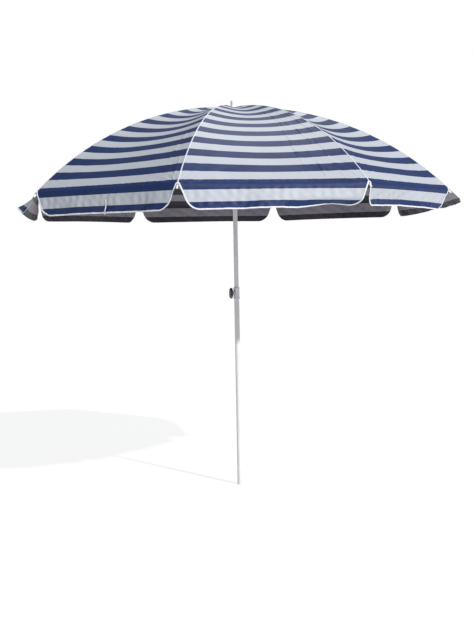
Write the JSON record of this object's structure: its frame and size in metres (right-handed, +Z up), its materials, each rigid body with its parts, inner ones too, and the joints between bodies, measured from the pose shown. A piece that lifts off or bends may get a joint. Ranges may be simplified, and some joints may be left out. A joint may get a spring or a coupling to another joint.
{
  "type": "beach umbrella",
  "caption": "Beach umbrella with a domed striped canopy, hanging flaps, folding wire ribs and stretchers, a sliding runner and a two-part pole with a knob clamp.",
  "frame": {"origin": "centre of the pole's bottom end", "axes": "+Z up along the pole; the clamp knob points along -X; rib 1 is 22.5 degrees from +X towards +Y"},
  "size_m": [1.707, 1.707, 1.6515],
  "materials": {
    "tube": "pale grey powder coat, satin",
    "tube_lower": "white-grey powder coat, satin",
    "white_plastic": "moulded white plastic",
    "grey_plastic": "moulded grey plastic",
    "dark_plastic": "moulded dark grey plastic",
    "steel_wire": "galvanised steel wire",
    "zinc": "zinc plated steel",
    "canopy_cloth": "coated polyester, navy and white stripes",
    "strap_cloth": "white woven tape"
  },
  "bodies": {
    "lower_pole": {"lower_tube": "tube_lower", "foot_plug": "white_plastic", "clamp_collar": "grey_plastic", "clamp_nut": "zinc"},
    "clamp_pad": {"clamp_pad": "white_plastic"},
    "clamp_knob": {"clamp_knob": "dark_plastic", "clamp_screw": "zinc"},
    "upper_pole": {"upper_tube": "tube", "tube_bush": "white_plastic", "crown_hub": "white_plastic", "crown_ring": "steel_wire", "crown_stud": "zinc", "crown_washer": "white_plastic", "finial": "white_plastic", "stop_pin": "zinc"},
    "catch": {"catch_spring": "zinc"},
    "runner": {"runner": "white_plastic", "runner_ring": "steel_wire"},
    "rib_1": {"rib_1": "steel_wire", "elbow_saddle_1": "zinc", "rib_tip_1": "white_plastic", "canopy_1": "canopy_cloth"},
    "stretcher_1": {"stretcher_1": "zinc"},
    "rib_2": {"rib_2": "steel_wire", "elbow_saddle_2": "zinc", "rib_tip_2": "white_plastic", "canopy_2": "canopy_cloth"},
    "stretcher_2": {"stretcher_2": "zinc"},
    "rib_3": {"rib_3": "steel_wire", "elbow_saddle_3": "zinc", "rib_tip_3": "white_plastic", "canopy_3": "canopy_cloth"},
    "stretcher_3": {"stretcher_3": "zinc"},
    "rib_4": {"rib_4": "steel_wire", "elbow_saddle_4": "zinc", "rib_tip_4": "white_plastic", "canopy_4": "canopy_cloth"},
    "stretcher_4": {"stretcher_4": "zinc"},
    "rib_5": {"rib_5": "steel_wire", "elbow_saddle_5": "zinc", "rib_tip_5": "white_plastic", "canopy_5": "canopy_cloth"},
    "stretcher_5": {"stretcher_5": "zinc"},
    "rib_6": {"rib_6": "steel_wire", "elbow_saddle_6": "zinc", "rib_tip_6": "white_plastic", "canopy_6": "canopy_cloth", "tie_strap": "strap_cloth"},
    "stretcher_6": {"stretcher_6": "zinc"},
    "rib_7": {"rib_7": "steel_wire", "elbow_saddle_7": "zinc", "rib_tip_7": "white_plastic", "canopy_7": "canopy_cloth"},
    "stretcher_7": {"stretcher_7": "zinc"},
    "rib_8": {"rib_8": "steel_wire", "elbow_saddle_8": "zinc", "rib_tip_8": "white_plastic", "canopy_8": "canopy_cloth"},
    "stretcher_8": {"stretcher_8": "zinc"}
  },
  "joints": [
    {"name": "pole_height", "type": "slide", "parent": "lower_pole", "child": "upper_pole", "axis": [0, 0, 1], "range_m": [-0.09, 0.25]},
    {"name": "clamp_pad_slide", "type": "slide", "parent": "lower_pole", "child": "clamp_pad", "axis": [-1, 0, 0], "range_m": [0, 0.002]},
    {"name": "clamp_knob_turn", "type": "hinge", "parent": "clamp_pad", "child": "clamp_knob", "pos_m": [0, 0, 0.832], "axis": [-1, 0, 0], "range_deg": [0, 720]},
    {"name": "catch_press", "type": "slide", "parent": "upper_pole", "child": "catch", "axis": [-1, 0, 0], "range_m": [0, 0.0034], "stiffness_N_per_m": 1500},
    {"name": "fold", "type": "hinge", "parent": "upper_pole", "child": "rib_1", "pos_m": [0.01663, 0.00689, 1.61587], "axis": [-0.3827, 0.9239, 0], "range_deg": [0, 64], "deforming": ["canopy_1", "canopy_2", "canopy_3", "canopy_4", "canopy_5", "canopy_6", "canopy_7", "canopy_8", "tie_strap", "catch_spring"]},
    {"name": "stretcher_1_fold", "type": "hinge", "parent": "rib_1", "child": "stretcher_1", "pos_m": [0.30789, 0.12753, 1.56101], "axis": [-0.3827, 0.9239, 0], "range_deg": [-128, 0]},
    {"name": "rib_2_fold", "type": "hinge", "parent": "upper_pole", "child": "rib_2", "pos_m": [0.00689, 0.01663, 1.61587], "axis": [-0.9239, 0.3827, 0], "range_deg": [0, 64]},
    {"name": "stretcher_2_fold", "type": "hinge", "parent": "rib_2", "child": "stretcher_2", "pos_m": [0.12753, 0.30789, 1.56101], "axis": [-0.9239, 0.3827, 0], "range_deg": [-128, 0]},
    {"name": "rib_3_fold", "type": "hinge", "parent": "upper_pole", "child": "rib_3", "pos_m": [-0.00689, 0.01663, 1.61587], "axis": [-0.9239, -0.3827, 0], "range_deg": [0, 64]},
    {"name": "stretcher_3_fold", "type": "hinge", "parent": "rib_3", "child": "stretcher_3", "pos_m": [-0.12753, 0.30789, 1.56101], "axis": [-0.9239, -0.3827, 0], "range_deg": [-128, 0]},
    {"name": "rib_4_fold", "type": "hinge", "parent": "upper_pole", "child": "rib_4", "pos_m": [-0.01663, 0.00689, 1.61587], "axis": [-0.3827, -0.9239, 0], "range_deg": [0, 64]},
    {"name": "stretcher_4_fold", "type": "hinge", "parent": "rib_4", "child": "stretcher_4", "pos_m": [-0.30789, 0.12753, 1.56101], "axis": [-0.3827, -0.9239, 0], "range_deg": [-128, 0]},
    {"name": "rib_5_fold", "type": "hinge", "parent": "upper_pole", "child": "rib_5", "pos_m": [-0.01663, -0.00689, 1.61587], "axis": [0.3827, -0.9239, 0], "range_deg": [0, 64]},
    {"name": "stretcher_5_fold", "type": "hinge", "parent": "rib_5", "child": "stretcher_5", "pos_m": [-0.30789, -0.12753, 1.56101], "axis": [0.3827, -0.9239, 0], "range_deg": [-128, 0]},
    {"name": "rib_6_fold", "type": "hinge", "parent": "upper_pole", "child": "rib_6", "pos_m": [-0.00689, -0.01663, 1.61587], "axis": [0.9239, -0.3827, 0], "range_deg": [0, 64]},
    {"name": "stretcher_6_fold", "type": "hinge", "parent": "rib_6", "child": "stretcher_6", "pos_m": [-0.12753, -0.30789, 1.56101], "axis": [0.9239, -0.3827, 0], "range_deg": [-128, 0]},
    {"name": "rib_7_fold", "type": "hinge", "parent": "upper_pole", "child": "rib_7", "pos_m": [0.00689, -0.01663, 1.61587], "axis": [0.9239, 0.3827, 0], "range_deg": [0, 64]},
    {"name": "stretcher_7_fold", "type": "hinge", "parent": "rib_7", "child": "stretcher_7", "pos_m": [0.12753, -0.30789, 1.56101], "axis": [0.9239, 0.3827, 0], "range_deg": [-128, 0]},
    {"name": "rib_8_fold", "type": "hinge", "parent": "upper_pole", "child": "rib_8", "pos_m": [0.01663, -0.00689, 1.61587], "axis": [0.3827, 0.9239, 0], "range_deg": [0, 64]},
    {"name": "stretcher_8_fold", "type": "hinge", "parent": "rib_8", "child": "stretcher_8", "pos_m": [0.30789, -0.12753, 1.56101], "axis": [0.3827, 0.9239, 0], "range_deg": [-128, 0]},
    {"name": "runner_slide", "type": "hinge", "parent": "stretcher_1", "child": "runner", "pos_m": [0.01663, 0.00689, 1.50615], "axis": [-0.3827, 0.9239, 0], "range_deg": [0, 64]}
  ],
  "couplings": [
    {"joint": "clamp_knob_turn", "follows": "clamp_pad_slide", "rad_per_m": 6283.2},
    {"joint": "stretcher_1_fold", "follows": "fold", "ratio": -2},
    {"joint": "rib_2_fold", "follows": "fold", "ratio": 1},
    {"joint": "stretcher_2_fold", "follows": "fold", "ratio": -2},
    {"joint": "rib_3_fold", "follows": "fold", "ratio": 1},
    {"joint": "stretcher_3_fold", "follows": "fold", "ratio": -2},
    {"joint": "rib_4_fold", "follows": "fold", "ratio": 1},
    {"joint": "stretcher_4_fold", "follows": "fold", "ratio": -2},
    {"joint": "rib_5_fold", "follows": "fold", "ratio": 1},
    {"joint": "stretcher_5_fold", "follows": "fold", "ratio": -2},
    {"joint": "rib_6_fold", "follows": "fold", "ratio": 1},
    {"joint": "stretcher_6_fold", "follows": "fold", "ratio": -2},
    {"joint": "rib_7_fold", "follows": "fold", "ratio": 1},
    {"joint": "stretcher_7_fold", "follows": "fold", "ratio": -2},
    {"joint": "rib_8_fold", "follows": "fold", "ratio": 1},
    {"joint": "stretcher_8_fold", "follows": "fold", "ratio": -2},
    {"joint": "runner_slide", "follows": "fold", "ratio": 1}
  ]
}
